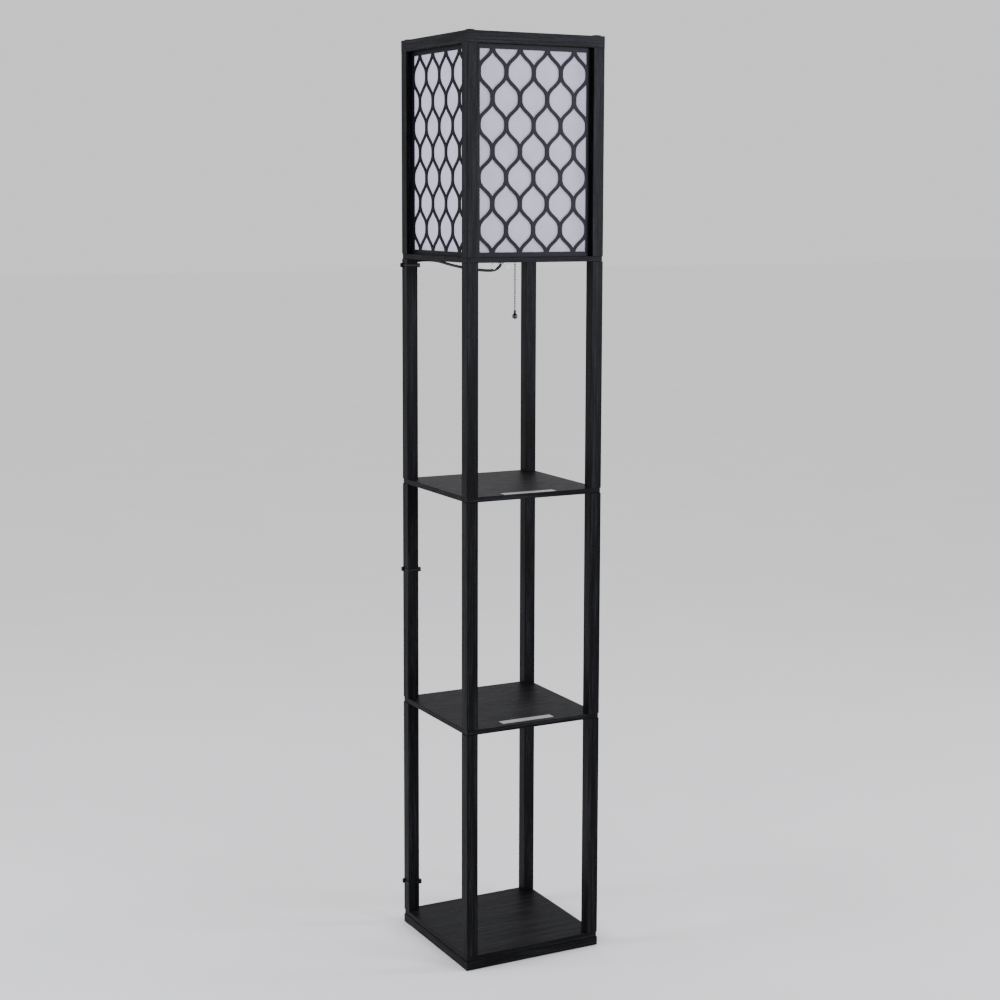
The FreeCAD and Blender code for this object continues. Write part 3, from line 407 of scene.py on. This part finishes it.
# Polished dark chrome: a mirror, nearly black where it looks at the dark boards, with a faint film.
plated_metal("polished_dark_chrome", ("#3c3d40", "#4a4b4e"), (0.05, 0.12), (0.004, 0.004, 0.004),
             "chrome_ball", "pull_ball")

# ---- bulb ----------------------------------------------------------------------------------------
# Screw-in lamp with an opal glass envelope cemented into a rolled aluminium cap.

# Rolled aluminium: pale and bright, with fine rings round the cap.
plated_metal("rolled_aluminium", ("#b9babd", "#d0d1d3"), (0.28, 0.4), (0.002, 0.002, 0.0004),
             "bulb_cap", "bulb_cap")

# Opal glass: milky white and glossy, its tone and gloss drifting a little at random.
opal_glass, tree = start_material("blown_opal_glass")
opal = spots(tree, (0.02, 0.02, 0.03), 2.0)
finish_material(tree, {"Base Color": shades(tree, opal, [(0.3, "#ece9e2"), (0.7, "#f6f4ef")]),
                       "Roughness": spread(tree, opal, 0.3, 0.7, 0.1, 0.16), "IOR": 1.5,
                       "Subsurface Weight": 0.4, "Subsurface Radius": [0.004, 0.004, 0.004]})
dress(opal_glass, "bulb_glass", "bulb_glass")

# ---- mains lead ----------------------------------------------------------------------------------
# Two-core black PVC flex, 5 mm across. It hangs from the holder's sleeve, passes behind the clip,
# along the underside of the shade board and down the rear left post, and ends in a tied hank of two
# and a half turns behind the base, with its plug beside it.

lead_diameter = 0.005
# The curve's control points, in millimetres: from the holder's sleeve to the hank, and from the hank
# to the plug.
lead_route = [
    (0, 0, 1216.4), (0, 0, 1212.2), (-1.6, 1.9, 1208.9), (-5.0, 6.0, 1204.4),
    (-10.4, 12.5, 1201.9), (-18.5, 22.4, 1201.6), (-31.0, 38.5, 1203.0), (-46.0, 59.5, 1206.2),
    (-60.0, 81.0, 1210.8), (-71.0, 99.8, 1216.2), (-79.8, 114.0, 1217.7), (-90.2, 126.6, 1217.6),
    (-103.2, 135.8, 1215.5), (-115.2, 140.4, 1206.2), (-122.2, 140.2, 1192.6),
    (-122.6, 137.6, 1175.6), (-121.4, 135.0, 1146.0), (-118.6, 133.7, 1092.0),
    (-115.2, 133.5, 1020.0), (-115.4, 133.6, 948.0), (-117.6, 134.0, 876.0),
    (-118.2, 134.6, 806.0), (-117.0, 133.6, 735.0), (-115.8, 133.4, 663.0),
    (-116.6, 133.7, 592.0), (-118.4, 134.4, 523.0), (-119.0, 133.8, 455.0),
    (-117.2, 134.5, 386.0), (-115.2, 134.2, 316.0), (-114.8, 133.6, 247.0),
    (-116.4, 133.4, 180.0), (-118.8, 133.5, 118.0), (-120.4, 133.4, 72.0), (-120.0, 133.6, 42.5),
    (-115.5, 133.6, 20.0), (-102.5, 133.5, 6.5), (-86.3, 133.2, 2.7), (-70, 133, 2.6)]
tail_route = [
    (9.5, 133.1, 12.8), (20.8, 136.6, 11.0), (31.0, 143.4, 8.2), (41.2, 147.6, 7.0),
    (50.5, 148.2, 6.9)]

# One half turn of the hank as seen from above, in millimetres from its middle: along one side, which
# is pinched in by the tie, and round the end loop to the other side.
hank_middle = (-27.5, 148.0)
hank_side = [(-24.0, -14.4), (-12.0, -8.6), (0.0, -5.0), (12.0, -8.6), (24.0, -14.4)]
hank_end = [(34.0, -14.6), (40.8, -7.0), (40.8, 7.0), (34.0, 14.6)]
hank_front_levels = [2.6, 7.6, 12.6]
hank_rear_levels = [2.6, 7.6]


def half_turn(way, level, next_level):
    """Route points of one side and one end loop, mirrored through the middle where way is -1. The
    height changes evenly round the end loop."""
    count = len(hank_end)
    heights = [level] * len(hank_side)
    heights += [level + (next_level - level) * (i + 0.5) / count for i in range(count)]
    return [(hank_middle[0] + way * x, hank_middle[1] + way * y, z)
            for (x, y), z in zip(hank_side + hank_end, heights)]


hank_route = []
for turn in range(2):
    hank_route += half_turn(1, hank_front_levels[turn], hank_rear_levels[turn])
    hank_route += half_turn(-1, hank_rear_levels[turn], hank_front_levels[turn + 1])
hank_route += [(hank_middle[0] + x, hank_middle[1] + y, hank_front_levels[2]) for x, y in hank_side]

# PVC sheath: black and satin, with a faint random scuff in its tone, gloss and relief.
sheath, tree = start_material("black_pvc_sheath")
scuff = spots(tree, (0.003, 0.003, 0.003), 3.0)
finish_material(tree, {"Base Color": shades(tree, scuff, [(0.3, "#0c0c0d"), (0.7, "#161617")]),
                       "Roughness": spread(tree, scuff, 0.3, 0.7, 0.32, 0.46),
                       "Normal": raised(tree, scuff, 0.00008, 0.4)})

curve = bpy.data.curves.new("mains_lead", "CURVE")
curve.dimensions = "3D"
curve.bevel_depth = lead_diameter / 2
curve.bevel_resolution = 5
curve.resolution_u = 6
curve.use_fill_caps = True
route = np.array(lead_route + hank_route + tail_route) / 1000
spline = curve.splines.new("NURBS")
spline.points.add(len(route) - 1)
spline.points.foreach_set("co", np.column_stack([route, np.ones(len(route))]).ravel())
spline.order_u = 3
spline.use_endpoint_u = True
lead = place("mains_lead", curve, sheath)
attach(lead, "stand")
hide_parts("cord", "cord_hank", "cord_tail")

# ---- ties, clip and plug -------------------------------------------------------------------------
# Nylon ties hold the lead to the rear left post and the hank together. A clear winged clip sits on
# the nipple's end. The two-pin plug is moulded on.

# Moulded nylon: black, satin, with a fine matt texture.
nylon, tree = start_material("moulded_black_nylon")
texture = spots(tree, (0.0007, 0.0007, 0.0007), 2.0)
finish_material(tree, {"Base Color": shades(tree, texture, [(0.3, "#08080a"), (0.7, "#0e0e10")]),
                       "Roughness": 0.42, "Specular IOR Level": 0.2,
                       "Normal": raised(tree, texture, 0.00005, 0.4)})
dress(nylon, "tie_black", "cable_ties", "hank_tie")

# Clear nylon: slightly milky, with soft flow lines that catch the light.
clear_nylon, tree = start_material("clear_moulded_nylon")
flow = spots(tree, (0.004, 0.004, 0.002), 2.0)
finish_material(tree, {"Base Color": shades(tree, flow, [(0.3, "#e6e8ea"), (0.7, "#f4f5f6")]),
                       "Roughness": 0.25, "IOR": 1.53, "Transmission Weight": 0.6,
                       "Normal": raised(tree, flow, 0.0002, 0.4)})
dress(clear_nylon, "clear_nylon", "cord_clip", "cord_sleeve")

# Moulded PVC: black and matt, with a fine texture.
plug_pvc, tree = start_material("moulded_plug_pvc")
texture = spots(tree, (0.0006, 0.0006, 0.0006), 2.0)
finish_material(tree, {"Base Color": shades(tree, texture, [(0.3, "#121213"), (0.7, "#1a1a1b")]),
                       "Roughness": 0.5, "Normal": raised(tree, texture, 0.00006, 0.5)})
dress(plug_pvc, "plug_black", "plug")

# Nickel plate on the pins: warm grey and bright, with fine polishing lines.
plated_metal("nickel_plated_pins", ("#b4b3af", "#cfcdc9"), (0.16, 0.28), (0.0008, 0.002, 0.002),
             "plug_pins", "plug_pins")
